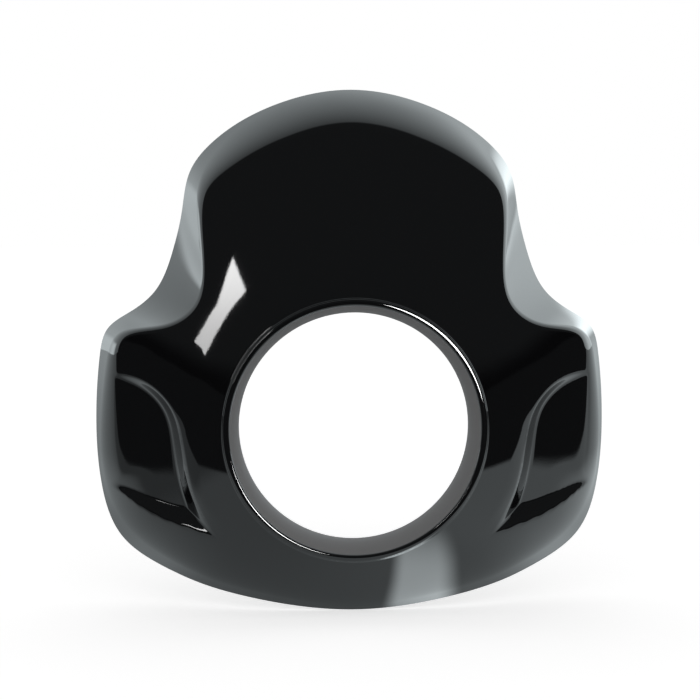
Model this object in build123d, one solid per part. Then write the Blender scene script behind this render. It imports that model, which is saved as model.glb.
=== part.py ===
from build123d import *
from math import atan2, cos, degrees, hypot, radians, sin, sqrt
import os

# Headlight cowl: one gloss-black moulding that surrounds a round motorbike headlamp.
# +Y runs back along the lamp axis, +Z is up and the cowl is the same left and right.
# Depths below are measured back from the front lip of the collar; at the end the whole
# moulding is moved so that its origin lies in the middle of the collar's straight land.
# Millimetres.

# Moulding
WALL = 3.0                  # thickness of the plastic
RIM_RUN_OUT = 6.0           # how far the hollow is cut past the rear rim

# Collar round the lamp
LAMP_OPENING_D = 160.0      # straight land that the lamp housing passes through
LAND_LENGTH = 6.0           # length of that land, at the rear of the collar
COLLAR_DEPTH = 27.0         # front lip to rear edge of the collar
MOUTH_D = 173.0             # inner edge of the front bead, where the flare opens
BEAD_WIDTH = 5.0            # raised round bead at the mouth
BEAD_HEIGHT = 2.2           # bead top in front of the face beside it
BEAD_SINK = 1.6             # how deep the bead's outer edge is sunk into the face
FACE_LAP = 1.5              # how far the face runs in under the bead
ROOT_DEPTH = 5.0            # thick root where the collar joins the face
BEAD_TOP_Y = -0.2           # front of the bead, just ahead of the lip
NOSE_LEVEL = 0.4            # share of the bead's width at which its front lies
MOUTH_LEVEL = 0.4           # share of the bead's height at which the flare meets it
FLARE_START = 0.45          # share of the flare that runs on straight from the land
FLARE_MOUTH_PULL = (1.2, 3.0)  # how the flare leaves the mouth: inwards and back

# Front view of the rear rim: points of the right half, from the top round to the chin
RIM_TOP = (0.0, 233.5)
RIM_BROW = (52.0, 223.5)
RIM_SHOULDER = (97.0, 197.5)
RIM_SHOULDER_END = (114.0, 176.0)
RIM_DOME_SIDE = (120.0, 148.0)
RIM_WAIST = (127.0, 119.5)
RIM_WAIST_END = (140.0, 91.0)
RIM_SHELF = (157.5, 76.5)
RIM_WING_CORNER = (174.0, 64.0)
RIM_WING_TOP = (179.5, 45.0)
RIM_WING_SIDE = (182.5, 0.0)
RIM_WING_LOW = (179.5, -46.0)
RIM_JOWL = (165.5, -84.0)
RIM_JOWL_END = (135.0, -105.5)
RIM_CHIN_SIDE = (72.0, -123.5)
RIM_CHIN = (0.0, -131.0)

# Front view of the crease between the face and the side wall, in the same order
CREASE_TOP = (0.0, 217.0)
CREASE_BROW = (45.0, 207.5)
CREASE_SHOULDER = (88.0, 183.0)
CREASE_SHOULDER_END = (104.0, 164.0)
CREASE_DOME_SIDE = (106.0, 143.0)
CREASE_WAIST = (103.5, 113.0)
CREASE_WAIST_END = (107.5, 87.0)
CREASE_SHELF = (130.0, 71.0)
CREASE_WING_CORNER = (162.5, 62.5)
CREASE_WING_TOP = (169.5, 40.0)
CREASE_WING_SIDE = (172.0, 0.0)
CREASE_WING_LOW = (166.5, -42.0)
CREASE_JOWL = (144.0, -73.0)
CREASE_JOWL_END = (116.5, -92.0)
CREASE_CHIN_SIDE = (64.5, -112.0)
CREASE_CHIN = (0.0, -122.0)

# Depth of the rear rim behind the lip, by direction in degrees from straight up
RIM_DEPTHS = (
    (0.0, 71.0),
    (40.0, 71.0),
    (67.0, 70.0),
    (90.0, 67.0),
    (105.0, 65.0),
    (115.0, 62.0),
    (125.0, 56.0),
    (137.0, 41.0),
    (150.0, 30.0),
    (165.0, 24.0),
    (180.0, 22.0),
)

# Fall of the face away from the collar, by direction: slope beside the bead, and gain
# of slope for each millimetre outwards
FACE_FALL = (
    (0.0, 0.12, 0.0026),
    (35.0, 0.14, 0.0028),
    (60.0, 0.17, 0.0035),
    (90.0, 0.24, 0.0055),
    (117.0, 0.28, 0.0040),
    (135.0, 0.32, 0.0032),
    (150.0, 0.35, 0.0035),
    (180.0, 0.38, 0.0040),
)

# Rounding of the crease by direction: reach on the face and reach on the side wall
CREASE_ROUNDING = (
    (0.0, 24.0, 30.0),
    (24.0, 15.0, 20.0),
    (38.0, 8.0, 12.0),
    (62.0, 8.0, 12.0),
    (78.0, 13.0, 18.0),
    (103.0, 14.0, 18.0),
    (118.0, 22.0, 22.0),
    (150.0, 14.0, 9.0),
    (180.0, 12.0, 6.0),
)

LONGEST_ROUNDING = 0.8      # the most of the side wall that the rounding may take

# Scoop in each wing, seen from the front: points round its mouth on the face and, for
# each of them, the point at the foot of its wall. The inner wall comes first, then the
# lower wall; outwards the floor runs out level with the face.
SCOOP_INNER_WALL = (
    ((170.0, 37.0), (170.0, 35.0)),
    ((146.0, 32.5), (148.0, 28.0)),
    ((127.0, 15.5), (132.0, 12.5)),
    ((119.5, -8.0), (126.5, -9.0)),
    ((112.5, -45.0), (121.5, -41.0)),
    ((97.0, -75.5), (116.5, -57.5)),
)
SCOOP_LOWER_WALL = (
    ((117.0, -70.5), (126.0, -57.0)),
    ((143.0, -61.5), (145.0, -52.5)),
    ((170.0, -50.0), (170.0, -47.0)),
)
SCOOP_FLOOR_Y = 33.5        # floor behind the lip, beside the outer end at lamp height
SCOOP_FLOOR_X = 163.0
SCOOP_FLOOR_SLOPE = 0.25    # fall of the floor outwards
SCOOP_FLOOR_TILT = -0.055   # fall of the floor upwards
SCOOP_CLEARANCE = 9.0       # how far in front of the face's start the cut begins

# Radial sections of the moulding, in degrees from straight up; the first and the last
# lie past the middle plane, so that both halves meet there without a kink
SECTION_ANGLES = (
    -16, -8, 0, 8, 16, 23, 29, 34, 39, 44, 49, 54, 59, 63, 67, 71, 76,
    83, 91, 100, 110, 119, 127, 135, 144, 154, 164, 172, 180, 188, 196,
)

# Worked out from the sizes above
LAND_R = LAMP_OPENING_D / 2
MOUTH_R = MOUTH_D / 2
FOOT_R = MOUTH_R + BEAD_WIDTH
SKIN_R = FOOT_R - FACE_LAP
FACE_Y = BEAD_HEIGHT
ORIGIN_Y = COLLAR_DEPTH - LAND_LENGTH / 2

# Construction: the hub that the sections start from, the slopes of the flat plane in
# front of the face that the scoop is cut from, and the steps of each table. Tight
# roundings and the inner skin are runs of short straight flats, which keep the solid light.
HUB_R = LAND_R - 2 * BEAD_WIDTH
CUT_SLOPE = 0.5
CUT_TILT = -0.12
LEAST_SCOOP = WALL
CURVE_STEPS = 600
CREASE_FLATS = 4
INNER_CREASE_FLATS = 3
INNER_FACE_FLATS = 3
BEAD_FLATS = 5
FLARE_FLATS = 4
REACH = 2 * (RIM_TOP[1] - RIM_CHIN[1])


def smooth_table(rows, column):
    """A smooth curve through one column of a table, which repeats mirrored past its ends."""
    before = [(-row[0], row[column]) for row in rows[:0:-1]]
    after = [(360 - row[0], row[column]) for row in rows[-2::-1]]
    curve = Spline(*before, *[(row[0], row[column]) for row in rows], *after)
    samples = [curve @ (i / CURVE_STEPS) for i in range(CURVE_STEPS + 1)]
    return [(p.X, p.Y) for p in samples]


def polar_curve(points):
    """A smooth closed front-view curve; its right half as angle from straight up and radius."""
    left = [(-x, z) for x, z in points[-2:0:-1]]
    curve = Spline(*points, *left, periodic=True)
    samples = [curve @ (0.5 * i / CURVE_STEPS) for i in range(CURVE_STEPS + 1)]
    return [(degrees(atan2(p.X, p.Y)), hypot(p.X, p.Y)) for p in samples]


def read(table, x):
    """The table's value at x, between its two nearest rows."""
    for (x0, v0), (x1, v1) in zip(table, table[1:]):
        if x <= x1:
            return v0 + (v1 - v0) * (x - x0) / (x1 - x0)
    return table[-1][1]


RIM_OUTLINE = polar_curve((
    RIM_TOP, RIM_BROW, RIM_SHOULDER, RIM_SHOULDER_END, RIM_DOME_SIDE, RIM_WAIST,
    RIM_WAIST_END, RIM_SHELF, RIM_WING_CORNER, RIM_WING_TOP, RIM_WING_SIDE,
    RIM_WING_LOW, RIM_JOWL, RIM_JOWL_END, RIM_CHIN_SIDE, RIM_CHIN,
))
CREASE_OUTLINE = polar_curve((
    CREASE_TOP, CREASE_BROW, CREASE_SHOULDER, CREASE_SHOULDER_END, CREASE_DOME_SIDE,
    CREASE_WAIST, CREASE_WAIST_END, CREASE_SHELF, CREASE_WING_CORNER, CREASE_WING_TOP,
    CREASE_WING_SIDE, CREASE_WING_LOW, CREASE_JOWL, CREASE_JOWL_END, CREASE_CHIN_SIDE,
    CREASE_CHIN,
))
RIM_DEPTH = smooth_table(RIM_DEPTHS, 1)
FACE_SLOPE = smooth_table(FACE_FALL, 1)
FACE_GAIN = smooth_table(FACE_FALL, 2)
ROUND_ON_FACE = smooth_table(CREASE_ROUNDING, 1)
ROUND_ON_WALL = smooth_table(CREASE_ROUNDING, 2)


def slant(table, angle):
    """How much longer a radial cut across a curve is than a square one."""
    step = 0.5
    before, after = read(table, abs(angle - step)), read(table, min(angle + step, 180))
    rate = (after - before) / (2 * radians(step)) / read(table, angle)
    return sqrt(1 + rate * rate)


def unit(start, end):
    """Direction from one section point to another."""
    run, rise = end[0] - start[0], end[1] - start[1]
    length = hypot(run, rise)
    return run / length, rise / length


def moved(point, direction, distance):
    """A section point moved along a direction."""
    return point[0] + direction[0] * distance, point[1] + direction[1] * distance


def inward(direction):
    """The direction into the plastic from a skin that runs outwards and back."""
    return -direction[1], direction[0]


def crossing(p, u, q, v):
    """Where the line through p along u meets the line through q along v."""
    side = u[0] * v[1] - u[1] * v[0]
    reach = ((q[0] - p[0]) * v[1] - (q[1] - p[1]) * v[0]) / side
    return moved(p, u, reach)


def skin_corners(angle):
    """Hub, foot, bend, crease and rim of the outer skin in one radial section."""
    crease_r, rim_r = read(CREASE_OUTLINE, angle), read(RIM_OUTLINE, angle)
    slope, gain = read(FACE_SLOPE, angle), read(FACE_GAIN, angle)
    reach = read(ROUND_ON_FACE, angle) * slant(CREASE_OUTLINE, angle)
    run = crease_r - reach - SKIN_R
    hub, foot = (HUB_R, FACE_Y), (SKIN_R, FACE_Y)
    bend = (SKIN_R + run / 2, FACE_Y + slope * run / 2)
    end = (SKIN_R + run, FACE_Y + slope * run + gain * run * run / 2)
    crease = (crease_r, end[1] + (slope + gain * run) * reach)
    rim = (rim_r, read(RIM_DEPTH, angle))
    return hub, foot, bend, end, crease, rim


def wall_inset(angle, crease, rim, inset):
    """Inset of the side wall in the section plane for a true inset square to the wall."""
    slope = (rim[0] - crease[0]) / (rim[1] - crease[1]) / slant(RIM_OUTLINE, angle)
    steepness = 1 / sqrt(1 + slope * slope)
    across = steepness / slant(RIM_OUTLINE, angle)
    return inset / hypot(across, slope * steepness)


def flats(curve, count):
    """Straight lines between points spaced evenly along a curve."""
    points = [curve @ (i / count) for i in range(count + 1)]
    return [Line(start, end) for start, end in zip(points, points[1:])]


def section_wire(angle, inset):
    """Outline of the solid behind the skin, in the radial plane at this angle."""
    turned = angle if 0 <= angle <= 180 else (-angle if angle < 0 else 360 - angle)
    hub, foot, bend, end, crease, rim = skin_corners(turned)
    near, far, wall = unit(foot, bend), unit(bend, crease), unit(crease, rim)
    length = hypot(rim[0] - crease[0], rim[1] - crease[1])
    reach = min(read(ROUND_ON_WALL, turned), LONGEST_ROUNDING * length)
    start = moved(crease, wall, reach)
    side_inset = wall_inset(turned, crease, rim, inset)
    hub_r = HUB_R - inset
    hub = (hub_r, hub[1] + inset)
    bend_in = moved(bend, inward(far), inset)
    start = moved(start, inward(wall), side_inset)
    end = moved(end, inward(far), inset)
    foot = crossing(hub, (1, 0), moved(foot, inward(near), inset), near)
    bend = crossing(foot, near, bend_in, far)
    crease = crossing(end, far, start, wall)
    back = rim[1] + (RIM_RUN_OUT if inset else 0)
    rim = moved(start, wall, (back - start[1]) / wall[1])

    def place(point):
        return Vector(point[0] * sin(radians(angle)), point[1], point[0] * cos(radians(angle)))

    face = Bezier(place(foot), place(bend), place(end))
    rounding = Bezier(place(end), place(crease), place(crease), place(start))
    return Wire([
        Line(place(hub), place(foot)),
        *(flats(face, INNER_FACE_FLATS) if inset else [face]),
        *flats(rounding, INNER_CREASE_FLATS if inset else CREASE_FLATS),
        Line(place(start), place(rim)),
        Line(place(rim), place((hub_r, back))),
        Line(place((hub_r, back)), place(hub)),
    ])


def skin_form(inset):
    """Solid behind the outer skin, or behind the inner skin where inset is the wall."""
    return Solid.make_loft([section_wire(angle, inset) for angle in SECTION_ANGLES])


def face_depth(x, z):
    """Depth of the outer face behind the lip at a front-view point."""
    angle, run = degrees(atan2(x, z)), hypot(x, z) - SKIN_R
    return FACE_Y + read(FACE_SLOPE, angle) * run + read(FACE_GAIN, angle) * run * run / 2


def spread(points, distance):
    """Front-view points of the scoop's walls, moved square to the wall by a distance."""
    result = []
    for i, (x, z) in enumerate(points):
        (x0, z0), (x1, z1) = points[max(i - 1, 0)], points[min(i + 1, len(points) - 1)]
        run, rise = unit((x0, z0), (x1, z1))
        result.append((x + rise * distance, z - run * distance))
    return result


def above_face(x, z):
    """Depth of a flat plane that lies a little in front of the face over the scoop."""
    return CUT_SLOPE * (x - SKIN_R) + CUT_TILT * z - SCOOP_CLEARANCE


def scoop_tool(grow):
    """Solid that cuts one scoop; grown by the wall it clears the back of the scoop."""
    pairs = SCOOP_INNER_WALL + SCOOP_LOWER_WALL
    mouth = spread([pair[0] for pair in pairs], grow)
    base = spread([pair[1] for pair in pairs], grow)
    corner = len(SCOOP_INNER_WALL)

    def floor_point(x, z):
        y = SCOOP_FLOOR_Y + SCOOP_FLOOR_SLOPE * (x - SCOOP_FLOOR_X) + SCOOP_FLOOR_TILT * z
        return Vector(x, y + grow, z)

    def top_point(edge, foot):
        deep = floor_point(*foot).Y
        skin = face_depth(*edge) + grow
        top = above_face(*edge)
        reach = (deep - top) / max(deep - skin, LEAST_SCOOP)
        x = foot[0] + (edge[0] - foot[0]) * reach
        z = foot[1] + (edge[1] - foot[1]) * reach
        return Vector(x, above_face(x, z), z)

    def ring(points):
        return Wire([
            Spline(*points[:corner]),
            Spline(*points[corner - 1:]),
            Line(points[-1], points[0]),
        ])

    low = ring([floor_point(*foot) for foot in base])
    high = ring([top_point(edge, foot) for edge, foot in zip(mouth, base)])
    return Solid.make_loft([low, high], ruled=True)


def collar():
    """Tube round the lamp: bead, flared mouth and straight land, turned about the axis."""
    flare_end = COLLAR_DEPTH - LAND_LENGTH
    tube_r = LAND_R + WALL
    land_start = (LAND_R, flare_end)
    mouth = (MOUTH_R, BEAD_HEIGHT * MOUTH_LEVEL)
    straight = (LAND_R, flare_end * FLARE_START)
    pull = (MOUTH_R - FLARE_MOUTH_PULL[0], FLARE_MOUTH_PULL[1])
    nose = (MOUTH_R + BEAD_WIDTH * NOSE_LEVEL, BEAD_TOP_Y)
    foot = (FOOT_R, FACE_Y + BEAD_SINK)
    root = (FOOT_R, FACE_Y + ROOT_DEPTH)
    flare = Bezier(land_start, straight, pull, mouth)
    bead = ThreePointArc(mouth, nose, foot)
    with BuildSketch(Plane.XY) as profile:
        with BuildLine():
            Line((LAND_R, COLLAR_DEPTH), land_start)
            flats(flare, FLARE_FLATS)
            flats(bead, BEAD_FLATS)
            Line(foot, root)
            Line(root, (tube_r, flare_end))
            Line((tube_r, flare_end), (tube_r, COLLAR_DEPTH))
            Line((tube_r, COLLAR_DEPTH), (LAND_R, COLLAR_DEPTH))
        make_face()
    return Solid(revolve(profile.sketch, Axis.Y).wrapped)


def half_space(start_x):
    """A large box to the right of a plane across the cowl."""
    return Pos(start_x + REACH / 2, 0, 0) * Box(REACH, REACH, REACH)


def right_half():
    """Right half of the moulding without the collar; the hollow is cut past its middle."""
    outer = (skin_form(0) & half_space(0)) - scoop_tool(0)
    inner = (skin_form(WALL) & half_space(-WALL)) - scoop_tool(WALL)
    bore = Rot(90, 0, 0) * Cylinder(FOOT_R - BEAD_WIDTH / 2, REACH)
    return outer - inner - bore


def cowl():
    """The whole moulding, with its origin on the lamp axis in the middle of the land."""
    half = right_half()
    return Pos(0, -ORIGIN_Y, 0) * (half + mirror(half, Plane.YZ) + collar())


if __name__ == "__main__":
    os.makedirs("parts", exist_ok=True)
    export_step(cowl(), "parts/cowl_shell.step")
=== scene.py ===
# %% [markdown]
# # A gloss-black headlight cowl
# This is one plastic moulding that surrounds the round headlamp of a motorbike: a tall
# visor above the lamp, a shelf and a wing with an inset scoop on each side, and a shallow
# chin. The measured solid is loaded first. It stays where it is, and all that is made
# here shares its frame: the lamp axis runs along Y, Z is up, and the front faces -Y.

# %% Load the measured solid
import math

import bpy
import numpy as np
from mathutils import Matrix, Vector


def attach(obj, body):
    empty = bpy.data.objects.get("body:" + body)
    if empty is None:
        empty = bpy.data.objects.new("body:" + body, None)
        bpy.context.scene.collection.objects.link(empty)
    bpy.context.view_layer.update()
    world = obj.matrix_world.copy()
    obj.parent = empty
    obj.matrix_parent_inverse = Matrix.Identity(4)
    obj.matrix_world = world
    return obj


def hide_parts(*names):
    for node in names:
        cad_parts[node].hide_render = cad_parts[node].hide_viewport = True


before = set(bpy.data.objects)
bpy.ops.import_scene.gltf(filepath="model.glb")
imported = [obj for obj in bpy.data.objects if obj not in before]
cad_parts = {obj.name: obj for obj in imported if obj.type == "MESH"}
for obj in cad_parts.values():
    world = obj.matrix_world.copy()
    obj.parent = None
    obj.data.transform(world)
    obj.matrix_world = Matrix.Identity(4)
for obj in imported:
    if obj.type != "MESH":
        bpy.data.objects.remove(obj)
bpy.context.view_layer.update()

NODE = "cowl_shell"

# %% [markdown]
# ## Sizes of the moulding
# A moulding like this is drawn from a few curves: the outline of its rear rim, the crease
# where the face turns into the side wall, and how deep both lie. The visible skin could be
# a copy of the solid's mesh, but that is made of small flats, and gloss shows every one.
# It is worked out here from the same curves instead, with its edges truly rounded, so it
# fits the solid and needs no moving into place.

# %% Sizes
# Millimetres, measured back from the front lip of the collar, as the moulding was drawn.
WALL = 3.0
LAND_R, LAND_LENGTH, COLLAR_DEPTH = 80.0, 6.0, 27.0
MOUTH_R, BEAD_WIDTH, BEAD_HEIGHT = 86.5, 5.0, 2.2
BEAD_OVERLAP = 1.5         # the face starts this far under the bead
ROOT_DEPTH = 5.0           # from the face to the collar's root on the inside
FACE_START_R = MOUTH_R + BEAD_WIDTH - BEAD_OVERLAP
LIP_TO_ORIGIN = COLLAR_DEPTH - LAND_LENGTH / 2
print("the origin lies %.1f mm behind the lip" % LIP_TO_ORIGIN)

# %% Outlines seen from the front
# The right half, from the top round to the chin, as (x, z): the rear rim, and the crease
# between the face and the side wall
RIM_POINTS = (
    (0, 233.5), (52, 223.5), (97, 197.5), (114, 176), (120, 148), (127, 119.5),
    (140, 91), (157.5, 76.5), (174, 64), (179.5, 45), (182.5, 0), (179.5, -46),
    (165.5, -84), (135, -105.5), (72, -123.5), (0, -131),
)
CREASE_POINTS = (
    (0, 217), (45, 207.5), (88, 183), (104, 164), (106, 143), (103.5, 113),
    (107.5, 87), (130, 71), (162.5, 62.5), (169.5, 40), (172, 0), (166.5, -42),
    (144, -73), (116.5, -92), (64.5, -112), (0, -122),
)
print("points of the rim and of the crease:", len(RIM_POINTS), len(CREASE_POINTS))

# %% Depths and roundings by direction
# Each row starts with a direction in degrees from straight up. It goes on with the depth
# of the rim; with the slope of the face beside the bead, and its gain for each millimetre
# outwards; and with the reach of the crease's rounding on the face and on the side wall.
RIM_DEPTHS = (
    (0, 71), (40, 71), (67, 70), (90, 67), (105, 65), (115, 62), (125, 56),
    (137, 41), (150, 30), (165, 24), (180, 22),
)
FACE_FALL = (
    (0, 0.12, 0.0026), (35, 0.14, 0.0028), (60, 0.17, 0.0035), (90, 0.24, 0.0055),
    (117, 0.28, 0.0040), (135, 0.32, 0.0032), (150, 0.35, 0.0035), (180, 0.38, 0.0040),
)
CREASE_ROUNDING = (
    (0, 13, 38), (24, 8, 28), (38, 3.5, 7), (62, 3, 6), (76, 6, 13), (86, 10, 16),
    (103, 14, 20), (118, 22, 22), (150, 14, 9), (180, 12, 6),
)
LONGEST_ROUNDING = 0.92   # the most of the side wall that the rounding may take
CREASE_HANDLE = 0.62      # how far the rounding's handles reach towards the crease
print("rim's depth from %d to %d mm" % (RIM_DEPTHS[-1][1], RIM_DEPTHS[0][1]))

# %% [markdown]
# ## Curves through a few points
# The drawing gives only some points of each curve, and the moulding flows through them
# without a corner. Blender's own curve objects could draw such lines, but the skin needs
# numbers: how far out a curve lies in any direction. So a cubic spline, which bends no
# more than it has to, is worked out with numpy and then read like a table.

# %% A smooth curve through points
def smooth_curve(points, closed=False, samples=40000):
    """Cubic spline through the points, as densely sampled points along it."""
    p = np.array(points, float)
    if closed:
        p = np.vstack([p, p[:1]])
    t = np.concatenate([[0], np.cumsum(np.linalg.norm(np.diff(p, axis=0), axis=1))])
    step = np.diff(t)
    slope = np.diff(p, axis=0) / step[:, None]
    count = len(p) - 1 if closed else len(p)
    matrix, turn = np.eye(count), np.zeros((count, p.shape[1]))
    for i in range(0 if closed else 1, count if closed else count - 1):
        before, after = step[i - 1], step[i]
        matrix[i] = 0
        matrix[i, i - 1] += before
        matrix[i, i] += 2 * (before + after)
        matrix[i, (i + 1) % count] += after
        turn[i] = 6 * (slope[i] - slope[i - 1])
    bend = np.linalg.solve(matrix, turn)
    if closed:
        bend = np.vstack([bend, bend[:1]])
    s = np.linspace(0, t[-1], samples)
    i = np.clip(np.searchsorted(t, s, side="right") - 1, 0, len(step) - 1)
    size = step[i][:, None]
    a, b = (t[i + 1] - s)[:, None] / size, (s - t[i])[:, None] / size
    cubic = (a**3 - a) * bend[i] + (b**3 - b) * bend[i + 1]
    return a * p[i] + b * p[i + 1] + cubic * size**2 / 6


sample = smooth_curve(RIM_POINTS[:4])
print("half way through the rim's first four points:", sample[len(sample) // 2].round(1).tolist())


# %% The curves by direction
def by_direction(rows, column):
    """One column of a table as a smooth curve of the direction, mirrored past its ends."""
    before = [(-row[0], row[column]) for row in rows[:0:-1]]
    after = [(360 - row[0], row[column]) for row in rows[-2::-1]]
    return smooth_curve(before + [(row[0], row[column]) for row in rows] + after).T


def outline(points):
    """A closed front-view curve as its radius by direction from straight up."""
    left = [(-x, z) for x, z in points[-2:0:-1]]
    x, z = smooth_curve(list(points) + left, closed=True).T
    half = slice(0, len(x) // 2)
    return np.degrees(np.arctan2(x, z))[half], np.hypot(x, z)[half]


CURVES = {
    "rim": outline(RIM_POINTS),
    "crease": outline(CREASE_POINTS),
    "depth": by_direction(RIM_DEPTHS, 1),
    "slope": by_direction(FACE_FALL, 1),
    "gain": by_direction(FACE_FALL, 2),
    "round_face": by_direction(CREASE_ROUNDING, 1),
    "round_wall": by_direction(CREASE_ROUNDING, 2),
}


def at(name, angle):
    """A curve's value in a direction; both halves of the cowl read the right one."""
    turned = np.abs(angle)
    return np.interp(np.where(turned > 180, 360 - turned, turned), *CURVES[name])


def slant(name, angle, step=0.05):
    """How much longer a radial cut across an outline is than a square one."""
    rate = (at(name, angle + step) - at(name, angle - step)) / (2 * np.radians(step))
    return np.sqrt(1 + (rate / at(name, angle)) ** 2)


UP_SIDE_DOWN = np.array([0.0, 90.0, 180.0])
print("rim's radius above, beside and below:", at("rim", UP_SIDE_DOWN).round(1).tolist())

# %% [markdown]
# ## A cut from the lamp axis outwards
# In every direction the moulding does the same: the face falls away from the bead, turns
# at the crease, and the side wall runs back to the rim. A loft between a few such cuts
# would drift between them. Each cut is worked out by itself instead, from the curves
# above. The inner skin is the same cut moved in by the wall, measured square to the
# surface, because plastic is moulded equally thick all over.

# %% Lines and curves in a section
def bezier(points, t):
    """Points of a Bezier curve whose control points are pairs of columns, one row each."""
    level = [np.stack(np.broadcast_arrays(*p), -1)[..., None, :] for p in points]
    share = t[..., None]
    while len(level) > 1:
        level = [a + (b - a) * share for a, b in zip(level, level[1:])]
    return np.broadcast_to(level[0], (*np.broadcast_shapes(level[0].shape[:-1], t.shape), 2))


def towards(start, end, length=1.0):
    """A point that lies a length from one section point in the direction of another."""
    run, rise = end[0] - start[0], end[1] - start[1]
    scale = length / np.hypot(run, rise)
    return start[0] + run * scale, start[1] + rise * scale


def meeting(p, u, q, v):
    """Where the line through p along u meets the line through q along v."""
    side = u[0] * v[1] - u[1] * v[0]
    reach = ((q[0] - p[0]) * v[1] - (q[1] - p[1]) * v[0]) / side
    return p[0] + u[0] * reach, p[1] + u[1] * reach


print("a slope of 1 from the origin meets r = 4 at", meeting((0, 0), (1, 1), (4, 0), (0, 1)))


# %% One radial section
def skin_points(angle, inset=0.0):
    """Foot, bend, end, crease, start and rim of the skin, or of the skin set in by a wall."""
    crease_r, rim_r = at("crease", angle), at("rim", angle)
    slope, gain = at("slope", angle), at("gain", angle)
    reach = at("round_face", angle) * slant("crease", angle)
    run = crease_r - reach - FACE_START_R
    top = BEAD_HEIGHT
    foot = (FACE_START_R + 0 * run, top + 0 * run)
    bend = (FACE_START_R + run / 2, top + slope * run / 2)
    end = (FACE_START_R + run, top + slope * run + gain * run * run / 2)
    crease = (crease_r, end[1] + (slope + gain * run) * reach)
    rim = (rim_r, at("depth", angle))
    length = np.hypot(rim[0] - crease[0], rim[1] - crease[1])
    start = towards(crease, rim, np.minimum(at("round_wall", angle), LONGEST_ROUNDING * length))
    if not inset:
        return foot, bend, end, crease, start, rim

    def along(a, b):
        size = np.hypot(b[0] - a[0], b[1] - a[1])
        return (b[0] - a[0]) / size, (b[1] - a[1]) / size

    near, far, wall = along(foot, bend), along(bend, crease), along(crease, rim)
    lean = wall[0] / wall[1] / slant("rim", angle)
    steep = 1 / np.sqrt(1 + lean * lean)
    side = inset / np.hypot(steep / slant("rim", angle), lean * steep)

    def sunk(point, way, depth):
        return point[0] - way[1] * depth, point[1] + way[0] * depth

    start = sunk(start, wall, side)
    end, bend_in = sunk(end, far, inset), sunk(bend, far, inset)
    foot = meeting((0, top + inset), (1, 0), sunk(foot, near, inset), near)
    bend = meeting(foot, near, bend_in, far)
    crease = meeting(end, far, start, wall)
    rise = (rim[1] - start[1]) / wall[1]
    rim = (start[0] + wall[0] * rise, rim[1])
    return foot, bend, end, crease, start, rim


crease_depths = skin_points(UP_SIDE_DOWN)[3][1]
print("crease's depth above, beside and below:", crease_depths.round(1).tolist())

# %% [markdown]
# ## The whole way round one section
# Cut through the lamp axis, the plastic is one closed line: from the collar's land forward
# through the flare, over the bead, out across the face, round the crease, back along the
# side wall, over the thin rim, and home along the inside. Each stretch is a short Bezier
# curve that leaves the one before in the same direction, so gloss shows no false edge.

# %% The collar's stretches
EDGE = 0.8                           # rounding of the thin edges
LIP = (MOUTH_R, BEAD_HEIGHT * 0.4)   # where the flare turns into the bead
LIP_PULL = (MOUTH_R - 1.2, 3.0)      # the flare's handle at the lip
LAND_PULL = 0.45                     # depth of its handle at the land, as a share of the flare's
BEAD_TOP = (88.9, -0.1)              # foremost ring of the bead
BEAD_SIDE = (91.2, 1.3)              # where the bead turns down to the face
BEAD_SIDE_WAY = (0.3, 0.95)
BEAD_HANDLE, LIP_HANDLE = 1.7, 0.9
ROOT_TAKES, BEND_TAKES = 3.0, 2.0    # lengths that the roundings behind the face take up


def collar_stretches():
    """Stretches of the collar that are the same in every direction."""
    flare_end = COLLAR_DEPTH - LAND_LENGTH
    tube_r = LAND_R + WALL
    root = (MOUTH_R + BEAD_WIDTH, BEAD_HEIGHT + ROOT_DEPTH)
    bend = (tube_r, flare_end)
    cone_start, cone_end = towards(root, bend, ROOT_TAKES), towards(bend, root, BEND_TAKES)
    tube_start = (tube_r, flare_end + BEND_TAKES)
    back = COLLAR_DEPTH
    return {
        "land": [(LAND_R, back - EDGE), (LAND_R, flare_end)],
        "flare": [(LAND_R, flare_end), (LAND_R, flare_end * LAND_PULL), LIP_PULL, LIP],
        "bead_in": [
            LIP, towards(LIP, LIP_PULL, -LIP_HANDLE),
            (BEAD_TOP[0] - BEAD_HANDLE, BEAD_TOP[1]), BEAD_TOP,
        ],
        "bead_out": [
            BEAD_TOP, (BEAD_TOP[0] + BEAD_HANDLE, BEAD_TOP[1]),
            (BEAD_SIDE[0] - BEAD_SIDE_WAY[0], BEAD_SIDE[1] - BEAD_SIDE_WAY[1]), BEAD_SIDE,
        ],
        "cone": [cone_start, cone_end],
        "tube_bend": [cone_end, bend, tube_start],
        "tube": [tube_start, (tube_r, back - EDGE)],
        "back_edge_out": [(tube_r, back - EDGE), (tube_r, back), (tube_r - WALL / 2, back)],
        "back_edge_in": [(tube_r - WALL / 2, back), (LAND_R, back), (LAND_R, back - EDGE)],
    }


print("stretches of the collar:", ", ".join(collar_stretches()))


# %% All stretches of a section
FACE_R = 92.6              # the face is clear of the bead from here
INSIDE_R = 98.0            # the inner face is clear of the collar's root from here


def blend(start, end, share):
    """The section point at a share of the way from one point to another."""
    return tuple(a + (b - a) * share for a, b in zip(start, end))


def face_start(foot, bend, end, radius):
    """The face's curve from a radius outwards, as three points."""
    t = (radius - foot[0]) / (end[0] - foot[0])
    low, high = blend(foot, bend, t), blend(bend, end, t)
    return blend(low, high, t), high, end


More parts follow.
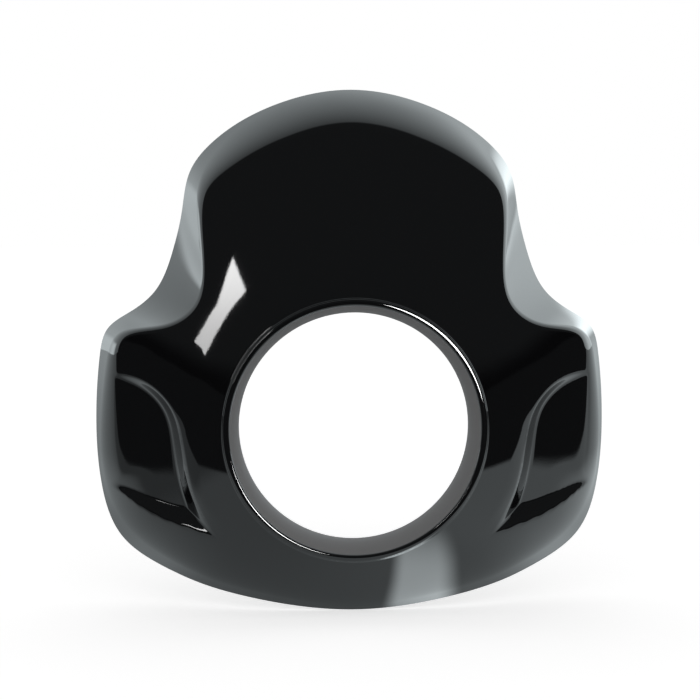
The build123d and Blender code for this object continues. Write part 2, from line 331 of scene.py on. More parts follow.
def stretches(angle):
    """All stretches of the section in each direction, by name."""
    part = collar_stretches()
    foot, bend, end, crease, start, rim = skin_points(angle)
    face = face_start(foot, bend, end, FACE_R)
    way = (face[1][0] - face[0][0], face[1][1] - face[0][1])
    valley = meeting(BEAD_SIDE, BEAD_SIDE_WAY, face[0], way)
    foot_i, bend_i, end_i, crease_i, start_i, rim_i = skin_points(angle, WALL)
    inside = face_start(foot_i, bend_i, end_i, INSIDE_R)
    cone = part["cone"]
    lean = (cone[1][0] - cone[0][0], cone[1][1] - cone[0][1])
    way_i = (inside[1][0] - inside[0][0], inside[1][1] - inside[0][1])
    root = meeting(cone[0], lean, inside[0], way_i)
    middle = ((rim[0] + rim_i[0]) / 2, (rim[1] + rim_i[1]) / 2)
    handles = blend(end, crease, CREASE_HANDLE), blend(start, crease, CREASE_HANDLE)
    handles_i = blend(start_i, crease_i, CREASE_HANDLE), blend(end_i, crease_i, CREASE_HANDLE)
    wall_end, wall_end_i = towards(rim, start, EDGE), towards(rim_i, start_i, EDGE)
    return part | {
        "bead_root": [BEAD_SIDE, valley, face[0]],
        "face": list(face),
        "crease": [end, *handles, start],
        "wall": [start, wall_end],
        "rim_out": [wall_end, rim, middle],
        "rim_in": [middle, rim_i, wall_end_i],
        "wall_inside": [wall_end_i, start_i],
        "crease_inside": [start_i, *handles_i, end_i],
        "face_inside": [end_i, inside[1], inside[0]],
        "root": [inside[0], root, cone[0]],
    }


depths = stretches(UP_SIDE_DOWN)["crease"][-1][1]
print("the side wall starts at these depths above, beside and below:", depths.round(1).tolist())

# %% Rows and finishes along a section
# How many rows of points each stretch gets, in order round the section
ROWS = {
    "land": 2, "flare": 10, "bead_in": 7, "bead_out": 7, "bead_root": 4, "face": 68,
    "crease": 12, "wall": 6, "rim_out": 3, "rim_in": 3, "wall_inside": 3,
    "crease_inside": 6, "face_inside": 20, "root": 3, "cone": 2, "tube_bend": 2,
    "tube": 2, "back_edge_out": 2, "back_edge_in": 2,
}
FINISHES = {               # stretches that aren't polished
    "inner": (
        "rim_in", "wall_inside", "crease_inside", "face_inside", "root", "cone", "tube_bend",
        "tube",
    ),
    "collar": ("land", "flare"),
}
print("rows in one section:", sum(ROWS.values()))

# %% [markdown]
# ## The scoops
# Each wing has a scoop: a floor that lies some 10 mm behind the face at its inner side and
# runs out level with it near the wing's edge, an S-shaped inner wall and a lower wall. It
# could be cut with a boolean, but the cut's edges would be dead sharp and would break the
# gloss. Here the face is pushed back instead, by how far a point lies inside the mouth's
# line, so the edges come out rounded as they do from a mould. The face beside the inner
# wall also rolls over a little towards it, which draws a long soft light there.

# %% Lines and depth of a scoop
# Two lines each for the inner and the lower wall, as (x, z): one where the wall leaves the
# face, at the scoop's mouth, and one where it meets the floor, at the wall's base
INNER_MOUTH = ((170, 37), (146, 32.5), (127, 15.5), (119.5, -8), (112.5, -45), (97, -75.5))
INNER_BASE = ((170, 35), (148, 28), (132, 12.5), (126.5, -9), (121.5, -41), (116.5, -57.5))
LOWER_MOUTH = ((97, -75.5), (117, -69.5), (140, -62), (151, -56), (161, -49.5), (173, -45))
LOWER_BASE = ((116.5, -57.5), (126, -56), (140, -52), (151, -48.5), (161, -45), (173, -41))
SCOOP_FIELD = ((80, 180), (-95, 55))   # widths and heights between which the face changes
FLOOR_DEPTH, FLOOR_X = 36.0, 163.0     # depth of the floor at this distance from the middle
FLOOR_SLOPE, FLOOR_TILT = 0.32, -0.068
FLOOR_CORNER, CORNER_DROP = (143.0, -35.0), 0.022   # past here it follows the wing down
CORNER_DROP_ROUND = 7.0
MOUTH_ROUND, BASE_ROUND, FLUSH_ROUND, CORNER_ROUND = 2.0, 2.4, 4.0, 1.5
LEAST_RUN = 0.5            # the least distance that a wall takes from its mouth to its base
BACK_ROUND = 3.0           # the same edges seen from behind are this much rounder
SHOULDER_WIDTH, SHOULDER_DEPTH = 9.0, 1.7   # the face rolls over towards the inner wall
SHOULDER_END = (4.0, 18.0)                  # distances inside the mouth where that ends
SHOULDER_TOP, SHOULDER_FOOT = (-2.0, 22.0), (-80.0, -52.0)   # heights where it fades out
LINE_STEP = 0.15           # spacing of the points along a scoop's line
LINE_RUN_ON = 60.0         # how far each line runs on straight past its ends


# %% Smooth steps and choices
def smooth_max(a, b, width):
    """The larger of two values, rounded over where they are within a width."""
    near = np.clip(width - np.abs(a - b), 0, None) / width
    return np.maximum(a, b) + near**3 * width / 6


def smooth_step(value, low, high):
    """A smooth rise from 0 to 1 between two values."""
    t = np.clip((value - low) / (high - low), 0, 1)
    return t * t * (3 - 2 * t)


def smooth_min(a, b, width):
    """The smaller of two values, rounded over in the same way."""
    return -smooth_max(-a, -b, width)


print("two equal depths, rounded over 2 mm, gain %.2f mm" % smooth_max(0.0, 0.0, 2.0))


# %% Distance from a line
def inside_line(points, x, z, samples=1600, batch=2000):
    """Distance to the left of a smooth front-view line, negative to its right."""
    line = smooth_curve(points, samples=samples)
    first = (line[0] - line[1]) / np.linalg.norm(line[0] - line[1])
    last = (line[-1] - line[-2]) / np.linalg.norm(line[-1] - line[-2])
    reach = np.arange(LINE_STEP, LINE_RUN_ON, LINE_STEP)[:, None]
    line = np.vstack([line[0] + first * reach[::-1], line, line[-1] + last * reach])
    way = np.gradient(line, axis=0)
    way /= np.linalg.norm(way, axis=1)[:, None]
    flat = np.stack([np.ravel(x), np.ravel(z)], 1)
    nearest = np.empty(len(flat), int)
    for i in range(0, len(flat), batch):
        gap = flat[i:i + batch, None] - line[None]
        nearest[i:i + batch] = np.argmin(np.einsum("ijk,ijk->ij", gap, gap), axis=1)
    gap = flat - line[nearest]
    side = way[nearest][:, 0] * gap[:, 1] - way[nearest][:, 1] * gap[:, 0]
    return side.reshape(np.shape(x))


spot_x, spot_z = np.array([140.0]), np.array([-20.0])
print("(140, -20) lies %.1f mm inside the inner wall" % inside_line(INNER_MOUTH, spot_x, spot_z)[0])


# %% Pressing in the scoop
def shoulder_roll(inner, z):
    """How far the face falls back beside the inner wall."""
    roll = np.clip(1 + inner / SHOULDER_WIDTH, 0, 1)
    roll = roll * roll * (1 - smooth_step(z, *SHOULDER_TOP)) * smooth_step(z, *SHOULDER_FOOT)
    return SHOULDER_DEPTH * roll * (1 - smooth_step(inner, *SHOULDER_END))


def floor_depth(x, z):
    """Depth of the scoop's floor, which falls away past the wing's lower corner."""
    floor = FLOOR_DEPTH + FLOOR_SLOPE * (x - FLOOR_X) + FLOOR_TILT * z
    out = smooth_max(x - FLOOR_CORNER[0], 0, CORNER_DROP_ROUND)
    down = smooth_max(FLOOR_CORNER[1] - z, 0, CORNER_DROP_ROUND)
    return floor + CORNER_DROP * out * down


def scooped(x, y, z, inset):
    """Depth of the skin at front-view points after the scoop is pressed in."""
    (x_low, x_high), (z_low, z_high) = SCOOP_FIELD
    near = (x > x_low) & (x < x_high) & (z > z_low) & (z < z_high)
    px, pz, py = x[near], z[near], y[near]
    inner = inside_line(INNER_MOUTH, px, pz)
    py = py + shoulder_roll(inner, pz)
    mouth = smooth_min(inner, inside_line(LOWER_MOUTH, px, pz), CORNER_ROUND)
    base = smooth_min(inside_line(INNER_BASE, px, pz), inside_line(LOWER_BASE, px, pz), CORNER_ROUND)
    mouth, base = mouth + inset, base + inset
    softer = BACK_ROUND if inset else 1.0
    ramp = smooth_max(mouth, 0, MOUTH_ROUND * softer) - smooth_max(base, 0, BASE_ROUND * softer)
    ramp = ramp / np.maximum(mouth - base, LEAST_RUN)
    press = smooth_max(floor_depth(px, pz) + inset - py, 0, FLUSH_ROUND)
    result = y.copy()
    result[near] = py + press * np.clip(ramp, 0, 1)
    return result


print("the scoop's floor lies %.1f mm deep at its inner side" % floor_depth(*INNER_BASE[3]))

# %% [markdown]
# ## From sections to a mesh
# A ring of sections round the lamp axis closes on itself both ways, like a bent tyre, so
# the mesh has no seam and no pole. Sections stand closer where the outline turns tightly
# and across the scoops. A gloss skin shows every error in its normals, so each vertex
# takes the normal worked out from the formula itself, not from its neighbours. Marks on
# the points tell the material later which stretches of the plastic aren't polished.

# %% Where the sections and the rows of the face lie
HALF_SECTIONS = 300
SECTION_DENSITY = (
    (0, 0.8), (24, 1.2), (30, 1.7), (46, 1.7), (54, 1.2), (62, 1.9), (74, 2.3),
    (79, 2.7), (130, 2.7), (140, 1.3), (180, 0.8),
)
ROW_CLUSTER, ROW_GAIN = (112.0, 136.0), 1.6   # radii between which the face's rows crowd
CLUSTER_FADE = (8.0, 10.0)                    # lengths over which they crowd less again
CLUSTER_ANGLES = (70.0, 80.0, 128.0, 138.0)   # directions where that begins, is full, and ends


def spaced(density, count, samples=4000):
    """Evenly weighted places along a density given as (place, weight) points."""
    place = np.linspace(density[0][0], density[-1][0], samples)
    weight = np.interp(place, *np.array(density, float).T)
    total = np.concatenate([[0], np.cumsum((weight[1:] + weight[:-1]) / 2)])
    return np.interp(np.linspace(0, total[-1], count), total, place)


def face_rows(angle, end_r, samples=400):
    """Shares along the face's curve for the rows of one section."""
    (near, far), (before, after) = ROW_CLUSTER, CLUSTER_FADE
    begin, full, fade, stop = CLUSTER_ANGLES
    crowd = smooth_step(angle, begin, full) * (1 - smooth_step(angle, fade, stop))
    radius = np.linspace(FACE_R, end_r, samples)
    bump = smooth_step(radius, near - before, near) * (1 - smooth_step(radius, far, far + after))
    weight = 1 + crowd * ROW_GAIN * bump
    total = np.concatenate([[0], np.cumsum((weight[1:] + weight[:-1]) / 2)])
    even = np.linspace(0, total[-1], ROWS["face"] + 1)[:-1]
    return (np.interp(even, total, radius) - FACE_R) / (end_r - FACE_R)


ANGLES = spaced(SECTION_DENSITY, HALF_SECTIONS + 1)
print("widest gap between sections: %.2f degrees" % np.diff(ANGLES).max())


# %% Points and normals
SCOOPED = {"face": 0.0, "crease": 0.0, "face_inside": WALL, "crease_inside": WALL}
TURN_STEP, SHARE_STEP = 0.03, 0.002   # to the points beside, from which the normals come


def skin_at(angle, name, points, t):
    """Points of one stretch of the right half in millimetres, in the row's frame."""
    section = bezier(points, t)
    radius, depth = section[..., 0], section[..., 1]
    turn = np.radians(angle)[:, None]
    x, z = radius * np.sin(turn), radius * np.cos(turn)
    if name in SCOOPED:
        depth = scooped(x, depth, z, SCOOPED[name])
    return np.stack(np.broadcast_arrays(x, depth - LIP_TO_ORIGIN, z), -1)


def half_skin():
    """Points and normals of the right half, one row for each section."""
    here, beside = stretches(ANGLES), stretches(ANGLES + TURN_STEP)
    points, normals = [], []
    for name, rows in ROWS.items():
        if name == "face":
            t = np.array([face_rows(a, r) for a, r in zip(ANGLES, here["face"][2][0])])
        else:
            t = np.linspace(0, 1, rows, endpoint=False)[None] + 0 * ANGLES[:, None]
        place = skin_at(ANGLES, name, here[name], t)
        across = skin_at(ANGLES + TURN_STEP, name, beside[name], t) - place
        along = skin_at(ANGLES, name, here[name], t + SHARE_STEP) - place
        normal = np.cross(across, along)
        points.append(place)
        normals.append(normal / np.linalg.norm(normal, axis=-1, keepdims=True))
    return np.concatenate(points, 1), np.concatenate(normals, 1)


# %% Both halves in one mesh
def whole_skin():
    """Vertices and normals of the full ring of sections."""
    right, normal = half_skin()
    flip = np.array([-1.0, 1.0, 1.0])
    on_axis = np.array([0, len(ANGLES) - 1])
    right[on_axis, :, 0] = 0
    normal[on_axis, :, 0] = 0
    normal /= np.linalg.norm(normal, axis=-1, keepdims=True)
    left = slice(len(ANGLES) - 2, 0, -1)
    points = np.concatenate([right, right[left] * flip])
    normals = np.concatenate([normal, normal[left] * flip])
    return points / 1000, normals


SKIN, NORMALS = whole_skin()
box_low, box_high = SKIN.reshape(-1, 3).min(0), SKIN.reshape(-1, 3).max(0)
print("box of the skin:", box_low.round(5).tolist(), box_high.round(5).tolist())


# %% From points to an object
def ring_faces(sections, rows):
    """Quads between neighbouring sections and rows, closed both ways."""
    i, j = np.meshgrid(np.arange(sections), np.arange(rows), indexing="ij")
    i2, j2 = (i + 1) % sections, (j + 1) % rows
    corners = np.stack([i * rows + j, i2 * rows + j, i2 * rows + j2, i * rows + j2], -1)
    return corners.reshape(-1, 4)


def new_object(name, points, faces):
    """A mesh object at the origin, with smooth shading."""
    mesh = bpy.data.meshes.new(name)
    mesh.from_pydata(points.tolist(), [], faces.tolist())
    mesh.polygons.foreach_set("use_smooth", np.ones(len(mesh.polygons), bool))
    piece = bpy.data.objects.new(name, mesh)
    bpy.context.scene.collection.objects.link(piece)
    return piece


cowl = new_object("cowl", SKIN.reshape(-1, 3), ring_faces(*SKIN.shape[:2]))
cowl.data.normals_split_custom_set_from_vertices(NORMALS.reshape(-1, 3).tolist())
print("triangles:", 2 * len(cowl.data.polygons))

# %% Where each finish lies
for finish, names in FINISHES.items():
    marked = [np.full(rows, float(name in names)) for name, rows in ROWS.items()]
    mark = cowl.data.attributes.new(finish, "FLOAT", "POINT")
    mark.data.foreach_set("value", np.tile(np.concatenate(marked), len(SKIN)))
    print("rows with the finish", finish + ":", int(np.concatenate(marked).sum()))

# %% A check of the normals
facing = np.empty(len(cowl.data.polygons) * 3)
cowl.data.polygons.foreach_get("normal", facing)
own = NORMALS.reshape(-1, 3)[[face.vertices[0] for face in cowl.data.polygons]]
against = np.sum(facing.reshape(-1, 3) * own, axis=1) < 0
print("faces against their normals:", int(against.sum()))

# %% The skin takes the solid's place
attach(cowl, "root")
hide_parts(NODE)
print("the cowl's skin stands for", NODE)

# %% [markdown]
# ## A short way to write shader maths
# The plastic and the lights below need a good deal of arithmetic, and each sum in a shader
# is a node with two links. Placed one by one, they would bury the idea in wiring. A small
# class wraps a socket instead, so that an ordinary expression adds the nodes, and one
# method makes every other kind of node.

# %% A socket that can be used in sums
class Link:
    """A socket that can be used in sums; each operation adds one Math node."""

    def __init__(self, graph, socket):
        self.graph, self.socket = graph, socket

    def math(self, operation, *values):
        return self.graph.node("ShaderNodeMath", {"operation": operation}, *values)

    def __add__(self, other):
        return self.math("ADD", self, other)

    def __sub__(self, other):
        return self.math("SUBTRACT", self, other)

    def __rsub__(self, other):
        return self.math("SUBTRACT", other, self)

    def __mul__(self, other):
        return self.math("MULTIPLY", self, other)

    def __abs__(self):
        return self.math("ABSOLUTE", self)

    __radd__, __rmul__ = __add__, __mul__

    def ramp(self, low, high, low_value=0.0, high_value=1.0):
        """A smooth rise from one value to another as this one goes from low to high."""
        return self.graph.node(
            "ShaderNodeMapRange", {"interpolation_type": "SMOOTHSTEP"},
            Value=self, From_Min=low, From_Max=high, To_Min=low_value, To_Max=high_value)

    def fall(self, low, high):
        """The same from 1 down to 0."""
        return self.ramp(low, high, 1.0, 0.0)

    def tinted(self, colour):
        """A colour as bright as this value says."""
        return self.graph.node("ShaderNodeVectorMath", {"operation": "SCALE"}, colour, Scale=self)

    def parts(self):
        """The x, y and z of a vector as three values."""
        return self.graph.node("ShaderNodeSeparateXYZ", None, self, out=("X", "Y", "Z"))


# %% A tree of nodes
class Graph:
    """The node tree of a material or of the world."""

    def __init__(self, owner):
        owner.use_nodes = True
        self.tree = owner.node_tree
        self.tree.nodes.clear()

    def node(self, kind, settings=None, *values, out=0, **named):
        """Add a node, set its settings, fill its sockets, and return one output or several."""
        node = self.tree.nodes.new(kind)
        for name, value in (settings or {}).items():
            setattr(node, name, value)
        sockets = [*enumerate(values), *((k.replace("_", " "), v) for k, v in named.items())]
        for key, value in sockets:
            if isinstance(value, Link):
                self.tree.links.new(value.socket, node.inputs[key])
            else:
                node.inputs[key].default_value = value
        if isinstance(out, tuple):
            return [Link(self, node.outputs[name]) for name in out]
        return Link(self, node.outputs[out]) if node.outputs else node


# %% [markdown]
# ## Gloss-black plastic
# The real cowl is black plastic that looks almost like lacquer: the colour is close to
# nothing, and all that the eye sees is what it mirrors. Its gloss isn't perfect, though. A
# mould leaves the skin very slightly wavy, and polishing leaves patches that differ a
# little. The back, which nobody polishes, stays satin, and the collar's inside is a dull
# dark grey. One material can hold all of this. The waves and patches are noise in the
# object's own coordinates, so they stay on the part from every side, and the two duller
# finishes lie where the mesh was marked for them, so their borders are exact.

# %% The plastic
BLACK, COLLAR_GREY = (0.004, 0.004, 0.0045, 1.0), (0.165, 0.163, 0.164, 1.0)
GLOSS_ROUGHNESS, SATIN_ROUGHNESS = (0.024, 0.039), (0.306, 0.391)   # from patch to patch
COLLAR_ROUGHNESS = 0.75
PATCH_RANGE = (0.3, 0.7)       # the noise's values between which a patch changes
WAVE_HEIGHT = 0.00035          # metres, over waves some 45 mm long
GRAIN_HEIGHT, SATIN_GRAIN_HEIGHT = 0.000004, 0.000044   # of the fine grain over them


def gloss_plastic():
    """Black moulded plastic: polished outside, satin behind, dull grey inside the collar."""
    material = bpy.data.materials.new("gloss_black_plastic")
    g = Graph(material)
    place = g.node("ShaderNodeTexCoord", out="Object")
    inner, collar = (
        g.node("ShaderNodeAttribute", {"attribute_name": name}, out="Fac") for name in FINISHES)

    def noise(scale, detail, roughness):
        sizes = {"Scale": scale, "Detail": detail, "Roughness": roughness}
        return g.node("ShaderNodeTexNoise", None, Vector=place, **sizes)

    waves, grain, patches = noise(22.0, 1.0, 0.4), noise(900.0, 2.0, 0.5), noise(14.0, 3.0, 0.6)
    gloss = patches.ramp(*PATCH_RANGE, *GLOSS_ROUGHNESS)
    satin = patches.ramp(*PATCH_RANGE, *SATIN_ROUGHNESS)
    rough = gloss * (1 - inner) + inner * satin
    rough = rough * (1 - collar) + collar * COLLAR_ROUGHNESS
    colour = g.node("ShaderNodeMix", {"data_type": "RGBA"}, collar, out=2, A=BLACK, B=COLLAR_GREY)
    grain_height = inner * (SATIN_GRAIN_HEIGHT - GRAIN_HEIGHT) + GRAIN_HEIGHT
    height = waves * WAVE_HEIGHT + grain * grain_height
    bump = g.node("ShaderNodeBump", None, Strength=1.0, Distance=1.0, Height=height)
    shade = g.node(
        "ShaderNodeBsdfPrincipled", None, Base_Color=colour, Roughness=rough, Normal=bump, IOR=1.5)
    g.node("ShaderNodeOutputMaterial", None, Surface=shade)
    return material


PLASTIC = gloss_plastic()
cowl.data.materials.append(PLASTIC)
print("material:", PLASTIC.name, "with", len(PLASTIC.node_tree.nodes), "nodes")

# %% [markdown]
# ## Floor
# The cowl stands on white paper. Seen directly the paper is plain white with a soft shadow,
# but a gloss-black skin shows the floor brighter or darker than that: the paper ends a
# little in front, it catches more light beside the object and in front on the right, and a
# bright streak of light lies on it below the chin. Lamps that draw such a streak would
# also bleach the floor that the camera sees. So the floor has two faces: diffuse white for
# most rays, and painted light for mirrored ones, told apart by the Light Path node.

# %% Light painted on the floor
# Metres on the floor: x to the right, y to the back. Each pair of places says between
# which two of them a light begins or ends.
COOL_WHITE, WHITE = (0.91, 0.995, 1.02), (1.0, 1.0, 1.0)
BARE_LIGHT, PAPER_LIGHT = 0.05, 0.78          # of the bare ground, and of the paper
PAPER_EDGE, PAPER_SLANT = (-0.315, -0.285), 0.17   # in the middle; further back to both sides
RIGHT_X, RIGHT_Y, RIGHT_MORE = (-0.1, 0.15), (-0.1, 0.1), 0.47     # in front on the right
LEFT_X, LEFT_Y, LEFT_LESS = (-0.3, -0.22), (-0.1, 0.0), 0.38       # in front on the far left
BESIDE_BEGINS, BESIDE_ENDS, BESIDE_Y = (0.1, 0.2), (0.3, 0.55), (-0.1, 0.05)
BESIDE_TURN, BESIDE_MORE = (-0.1, 0.1), (0.42, 0.85)               # on the left and on the right
STREAK_AT, STREAK_WAY, STREAK_LIGHT = (0.046, -0.006), (0.35, -0.94), 4.8
STREAK_EDGES = ((-0.025, -0.011), (0.016, 0.04))   # across the streak, on its two sides
STREAK_ENDS = ((-0.03, 0.0), (0.02, 0.12))         # along it


def streak_on_floor(x, y):
    """How much of the streak's light falls on a place."""
    (x0, y0), (run, rise) = STREAK_AT, STREAK_WAY
    along = (x - x0) * run + (y - y0) * rise
    across = (y - y0) * run - (x - x0) * rise
    sides = across.ramp(*STREAK_EDGES[0]) * across.fall(*STREAK_EDGES[1])
    return sides * along.ramp(*STREAK_ENDS[0]) * along.fall(*STREAK_ENDS[1])


def light_on_floor(x, y):
    """How bright each place of the floor looks in the gloss."""
    paper = (y - PAPER_SLANT * abs(x)).ramp(*PAPER_EDGE)
    front_right = x.ramp(*RIGHT_X) * y.fall(*RIGHT_Y)
    front_left = x.fall(*LEFT_X) * y.fall(*LEFT_Y)
    beside = abs(x).ramp(*BESIDE_BEGINS) * abs(x).fall(*BESIDE_ENDS) * y.ramp(*BESIDE_Y)
    light = front_right * RIGHT_MORE + PAPER_LIGHT - front_left * LEFT_LESS
    light = paper * (light + beside * x.ramp(*BESIDE_TURN, *BESIDE_MORE)) + BARE_LIGHT
    return light + streak_on_floor(x, y) * STREAK_LIGHT


print("streak of light at", STREAK_AT, "and the paper's edge at y =", PAPER_EDGE)


# %% The floor
FLOOR_HALF, FLOOR_GAP = 4.0, 0.0004    # half its side; the gap below the chin
FLOOR_PAINT, FLOOR_GLOW = (0.8, 0.8, 0.8, 1.0), (0.56, 0.56, 0.56)


def floor_material():
    """White paper with a soft shadow, whose mirror image is lit as painted above."""
    material = bpy.data.materials.new("white_floor")
    g = Graph(material)
    camera, glossy = g.node("ShaderNodeLightPath", out=("Is Camera Ray", "Is Glossy Ray"))
    x, y, _ = g.node("ShaderNodeTexCoord", out="Object").parts()
    paint = g.node("ShaderNodeBsdfDiffuse", None, Color=FLOOR_PAINT)
    glow = g.node("ShaderNodeEmission", None, Color=camera.tinted(FLOOR_GLOW))
    direct = g.node("ShaderNodeAddShader", None, paint, glow)
    shown = g.node("ShaderNodeEmission", None, Color=light_on_floor(x, y).tinted(COOL_WHITE))
    both = g.node("ShaderNodeMixShader", None, glossy, direct, shown)
    g.node("ShaderNodeOutputMaterial", None, Surface=both)
    return material


floor_z = float(box_low[2]) - FLOOR_GAP
corners = np.array([(-1, -1), (1, -1), (1, 1), (-1, 1)]) * FLOOR_HALF
places = np.column_stack([corners, np.full(4, floor_z)])
floor = new_object("floor", places, np.array([[0, 1, 2, 3]]))
floor.data.materials.append(floor_material())
print("floor at z = %.4f" % floor_z)

# %% [markdown]
# ## Surroundings
# A glossy black object shows its surroundings more than itself, so most of the likeness
# lies in what stands round it. Cards and lamps could be set up for all of it, but each
# would need a place of its own. The broad light is painted on the world by direction
# instead: a white sweep behind, brighter on the right and with a bright card low on the
# left, a ceiling that grows brighter to the back, and a dark room in front. Only mirrored
# rays see that. The camera sees plain white, and all other rays an even soft light.

# %% Light painted by direction
# A direction has x to the right, y to the back and z up, each from -1 to 1. Most pairs
# say between which two of these a light begins, ends or changes; the others how bright
# it is there.
LEFT_TO_RIGHT, OVERHEAD = (-0.3, 0.3), (0.4, 0.85)
SWEEP_BEGINS, CEILING_BEGINS = (-0.14, -0.04), (-0.18, -0.08)
LEFT_LIGHT, LEFT_BACK, LEFT_BACK_SHARE = 1.25, (0.81, 0.93), (1.0, 0.65)
CARD_TOP, CARD_SIDE, CARD_FADE, CARD_LIGHT = (0.07, 0.15), (0.3, 0.45), (0.5, 0.8), (2.6, 0.45)
RIGHT_FADE, RIGHT_LIGHT = (0.576, 0.797), (2.6, 1.65)
DIM_BACK, DIM_TOP, DIM_SHARE = (0.84, 0.88), (0.0, 0.06), 0.5   # low down, far at the back
CEILING_LIGHT, CEILING_GAIN = 0.68, 1.4
CEILING_SIDES, CEILING_SHARE = (-0.6, 0.6), (1.05, 1.45)
FRONT_TOP, FRONT_GLOW = (-0.02, 0.06), 0.10
LAMP_WAY, LAMP_RADIUS, LAMP_LIGHT = (147.5, 14), 13, 1.9   # in degrees, behind on the right
EVEN_LIGHT = 0.6                                           # for rays that aren't mirrored


def direction(azimuth, elevation):
    """Unit vector towards a direction; azimuth 0 is the front, positive to the right."""
    turn, lift = math.radians(azimuth), math.radians(elevation)
    flat = math.cos(lift)
    return Vector((math.sin(turn) * flat, -math.cos(turn) * flat, math.sin(lift)))


def sweep_and_ceiling(x, y, z):
    """How bright the broad white behind and above looks in a direction."""
    on_right, overhead = x.ramp(*LEFT_TO_RIGHT), z.ramp(*OVERHEAD)
    card = z.fall(*CARD_TOP) * y.ramp(*CARD_SIDE) * y.ramp(*CARD_FADE, *CARD_LIGHT)
    left = (LEFT_LIGHT + card) * y.ramp(*LEFT_BACK, *LEFT_BACK_SHARE)
    dim = 1 - DIM_SHARE * y.ramp(*DIM_BACK) * z.fall(*DIM_TOP)
    right = y.ramp(*RIGHT_FADE, *RIGHT_LIGHT) * dim
    sweep = y.ramp(*SWEEP_BEGINS) * (left * (1 - on_right) + right * on_right)
    ceiling = y.ramp(*CEILING_BEGINS) * (CEILING_LIGHT + CEILING_GAIN * y)
    ceiling = ceiling * x.ramp(*CEILING_SIDES, *CEILING_SHARE)
    return sweep * (1 - overhead) + ceiling * overhead


print("lamp behind on the right:", [round(v, 3) for v in direction(*LAMP_WAY)])


# %% World
def surroundings():
    """White seen directly; in reflections white behind and above, dark in front."""
    world = bpy.data.worlds.new("studio")
    bpy.context.scene.world = world
    g = Graph(world)
    camera, glossy = g.node("ShaderNodeLightPath", out=("Is Camera Ray", "Is Glossy Ray"))
    way = g.node("ShaderNodeTexCoord", out="Generated")
    x, y, z = way.parts()
    front = z.ramp(*FRONT_TOP, 0.0, FRONT_GLOW)
    towards_lamp = g.node(
        "ShaderNodeVectorMath", {"operation": "DOT_PRODUCT"}, way, direction(*LAMP_WAY), out="Value")
    lamp = towards_lamp.ramp(math.cos(math.radians(LAMP_RADIUS)), 1.0) * LAMP_LIGHT
    mirrored = sweep_and_ceiling(x, y, z) + front + lamp
    light = camera + (1 - camera) * (glossy * mirrored + (1 - glossy) * EVEN_LIGHT)
    colour = g.node(
        "ShaderNodeMix", {"data_type": "RGBA"}, glossy, out=2, A=(*WHITE, 1), B=(*COOL_WHITE, 1))
    background = g.node("ShaderNodeBackground", None, Color=light.tinted(colour))
    g.node("ShaderNodeOutputWorld", None, Surface=background)
    return world


print("world's nodes:", len(surroundings().node_tree.nodes))

# %% [markdown]
# ## Panels of light
# Two lights have edges that the gloss draws sharply: the tall patch on the left of the
# visor and the face, which is the mirror image of a window, and a strip on the right. An
# edge like that needs a real thing with an outline, because a rounded skin bends what it
# mirrors. So each is a flat glowing mesh. Only mirrored rays see it, so it neither shows
# in the picture nor throws a shadow.

# %% The two panels
# Outlines in metres, in each panel's own plane: to one side, and up
WINDOW = (
    (-0.045, 0.244), (-0.154, 0.085), (-0.132, 0.058), (-0.072, 0.001), (-0.011, -0.071),
    (0.054, -0.133), (0.125, -0.195), (0.146, -0.165), (0.201, -0.153), (0.099, -0.061),
    (0.016, 0.028), (-0.015, 0.117),
)
SIDE_PANEL = ((-0.17, -0.11), (0.17, -0.11), (0.17, 0.11), (-0.17, 0.11))
WINDOW_AT, WINDOW_WAY, WINDOW_LIGHT = (-0.568, -1.04, 0.295), (-25, 10.5), (12.0, 21.0)
SIDE_WAY, SIDE_FROM, SIDE_DISTANCE = (13.5, -0.3), (0, -0.02, 0), 1.3
SIDE_LIGHT = (60.0, 60.0)      # at its foot and at its head, as for the window


def glow_material(name, foot_z, head_z, lights):
    """Light that changes evenly from a panel's foot to its head."""
    material = bpy.data.materials.new(name)
    g = Graph(material)
    height = g.node("ShaderNodeTexCoord", out="Object").parts()[2]
    light = height.ramp(foot_z, head_z, *lights)
    glow = g.node("ShaderNodeEmission", None, Color=light.tinted(WHITE))
    g.node("ShaderNodeOutputMaterial", None, Surface=glow)
    return material


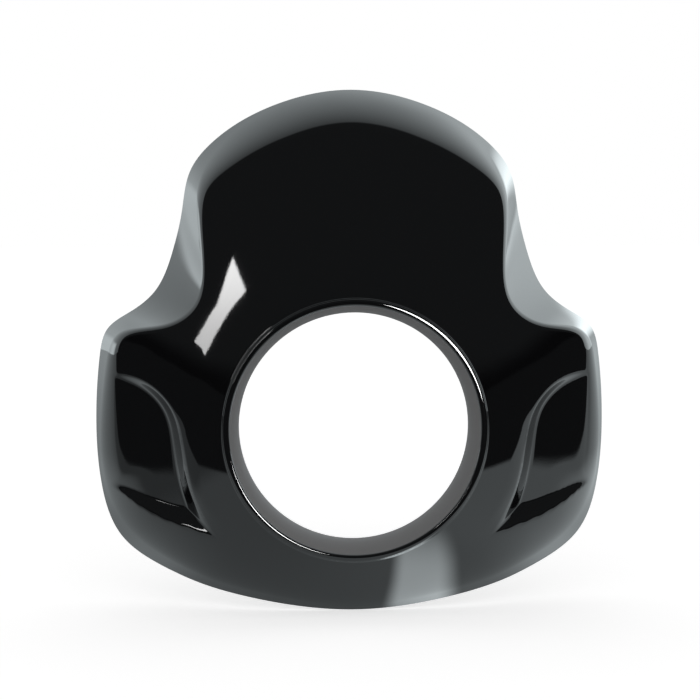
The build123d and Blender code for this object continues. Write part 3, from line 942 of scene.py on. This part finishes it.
def panel(name, centre, way, outline, lights):
    """A flat glowing panel that faces the object from a direction."""
    across = way.cross(Vector((0, 0, 1))).normalized()
    up = across.cross(way)
    points = np.array([list(centre + across * u + up * v) for u, v in outline])
    piece = new_object(name, points, np.arange(len(points))[None])
    heights = points[:, 2]
    glow = glow_material(name, float(heights.min()), float(heights.max()), lights)
    piece.data.materials.append(glow)
    piece.visible_camera = piece.visible_diffuse = piece.visible_shadow = False
    print(name, "with", len(outline), "corners, %.2f m from the lamp axis" % centre.length)


panel("window_panel", Vector(WINDOW_AT), direction(*WINDOW_WAY), WINDOW, WINDOW_LIGHT)
side_at = Vector(SIDE_FROM) + direction(*SIDE_WAY) * SIDE_DISTANCE
panel("side_panel", side_at, direction(*SIDE_WAY), SIDE_PANEL, SIDE_LIGHT)

# %% [markdown]
# ## Camera
# A long lens stretches nothing. It looks slightly down at the cowl from a little to the
# left, and the scoops of both wings show. Its direction, distance and focal length
# could be set by eye. Here they come from the circles of the collar and the symmetry of the
# outline, so that every edge falls where it does in the photograph.

# %% Camera
CAMERA_WAY, CAMERA_DISTANCE = (-2.9041, 6.8827), 1.3
AIM = (-0.0009, 0.036, 0.04906)
FOCAL_PIXELS, FRAME_PIXELS, SENSOR = 1822.42, 700, 36.0
SIGHT = (0.05, 60)         # nearest and farthest that the camera sees


def photo_camera():
    """The camera at the photograph's place, aimed a little above the lamp's middle."""
    lens = bpy.data.cameras.new("camera")
    lens.sensor_width, lens.lens = SENSOR, FOCAL_PIXELS / FRAME_PIXELS * SENSOR
    lens.clip_start, lens.clip_end = SIGHT
    way = direction(*CAMERA_WAY)
    stand = bpy.data.objects.new("camera", lens)
    bpy.context.scene.collection.objects.link(stand)
    turned = (-way).to_track_quat("-Z", "Y").to_matrix().to_4x4()
    stand.matrix_world = Matrix.Translation(Vector(AIM) + way * CAMERA_DISTANCE) @ turned
    bpy.context.scene.camera = stand
    return stand


camera = photo_camera()
print("camera at", [round(v, 4) for v in camera.matrix_world.translation])

# %% [markdown]
# ## Close
# The visible skin may not stand out of the solid. The last step sets the Standard view,
# which shows each colour about as it was written.

# %% Close
bpy.context.scene.view_settings.view_transform = "Standard"
